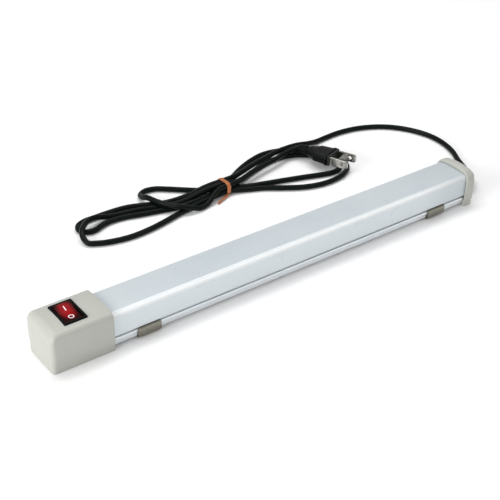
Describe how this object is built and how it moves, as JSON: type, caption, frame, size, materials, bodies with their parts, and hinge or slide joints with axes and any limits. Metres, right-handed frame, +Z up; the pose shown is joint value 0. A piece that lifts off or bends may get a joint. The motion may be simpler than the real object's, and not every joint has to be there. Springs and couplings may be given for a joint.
{
  "type": "led light tube",
  "caption": "Slim LED batten with a frosted diffuser on an aluminium channel, moulded end caps, a rocker switch, sliding mounting clips and a tied mains cord with a plug",
  "frame": {"origin": "middle of the light's underside, on the surface that both end caps stand on", "axes": "+X along the light from the switch end to the cord end, +Z up out of the diffuser, +Y across towards the side where the cord lies"},
  "size_m": [0.3891, 0.1509, 0.0294],
  "materials": {
    "cap_plastic": "fine satin moulded surface",
    "frosted_cover": "frosted translucent, satin outside",
    "aluminium": "extruded, lightly brushed along its length",
    "clip_steel": "bent sheet, smooth",
    "black_plastic": "semi-gloss",
    "red_rocker": "dark translucent red, glossy",
    "nylon": "satin",
    "spring_steel": "drawn wire",
    "brass": "stamped",
    "lamp_glass": "clear",
    "white_board": "white solder mask",
    "led_phosphor": "silicone over phosphor",
    "insulator": "film",
    "driver_laminate": "green solder mask",
    "resistor_body": "lacquered",
    "film_capacitor_case": "potted case",
    "capacitor_can": "printed sleeve",
    "ferrite": "sintered",
    "wire_brown": "insulated wire",
    "wire_blue": "insulated wire",
    "wire_red": "insulated wire",
    "wire_black": "insulated wire",
    "cord_black": "soft smooth sheath, faint sheen",
    "cord_rubber": "ribbed moulded rubber",
    "copper_tie": "shiny plastic strip over wire",
    "plug_plastic": "moulded, satin",
    "plug_insert": "moulded",
    "plated_blade": "nickel plated"
  },
  "bodies": {
    "light": {"switch_end_cap": "cap_plastic", "cord_end_cap": "cap_plastic", "diffuser": "frosted_cover", "base_channel": "aluminium", "switch_housing": "black_plastic", "bridge_rectifier": "black_plastic", "control_chip": "black_plastic", "cord_retainer": "nylon", "terminal_switched": "brass", "terminal_common": "brass", "terminal_lamp": "brass", "neon_lamp": "lamp_glass", "led_board": "white_board", "led_01": "led_phosphor", "led_02": "led_phosphor", "led_03": "led_phosphor", "led_04": "led_phosphor", "led_05": "led_phosphor", "led_06": "led_phosphor", "led_07": "led_phosphor", "led_08": "led_phosphor", "led_09": "led_phosphor", "led_10": "led_phosphor", "led_11": "led_phosphor", "led_12": "led_phosphor", "led_13": "led_phosphor", "led_14": "led_phosphor", "led_15": "led_phosphor", "led_16": "led_phosphor", "led_17": "led_phosphor", "led_18": "led_phosphor", "driver_insulator": "insulator", "driver_board": "driver_laminate", "fusible_resistor": "resistor_body", "film_capacitor": "film_capacitor_case", "bulk_capacitor": "capacitor_can", "output_capacitor": "capacitor_can", "inductor": "ferrite", "wire_live": "wire_brown", "wire_switched": "wire_brown", "wire_neutral": "wire_blue", "wire_lamp": "wire_blue", "wire_led_plus": "wire_red", "wire_led_minus": "wire_black", "cord_inner": "cord_black", "cord_lead": "cord_black", "cord_hank": "cord_black", "cord_bush": "cord_rubber", "cord_tie": "copper_tie", "plug_body": "plug_plastic", "plug_insert": "plug_insert", "plug_blade_1": "plated_blade", "plug_blade_2": "plated_blade"},
    "rocker_body": {"rocker": "red_rocker", "switch_plunger": "nylon", "plunger_spring": "spring_steel"},
    "contact_body": {"rocking_contact": "brass"},
    "clip_1": {"mounting_clip_1": "clip_steel"},
    "clip_2": {"mounting_clip_2": "clip_steel"}
  },
  "joints": [
    {"name": "rocker_tilt", "type": "hinge", "parent": "light", "child": "rocker_body", "pos_m": [-0.15, 0, 0.0261], "axis": [-1, 0, 0], "range_deg": [0, 16]},
    {"name": "contact_tilt", "type": "hinge", "parent": "light", "child": "contact_body", "pos_m": [-0.15, 0, 0.0176], "axis": [1, 0, 0], "range_deg": [0, 8]},
    {"name": "clip_1_slide", "type": "slide", "parent": "light", "child": "clip_1", "axis": [1, 0, 0], "range_m": [-0.016, 0.09]},
    {"name": "clip_2_slide", "type": "slide", "parent": "light", "child": "clip_2", "axis": [1, 0, 0], "range_m": [-0.09, 0.019]}
  ],
  "couplings": [
    {"joint": "contact_tilt", "follows": "rocker_tilt", "ratio": 0.5}
  ]
}
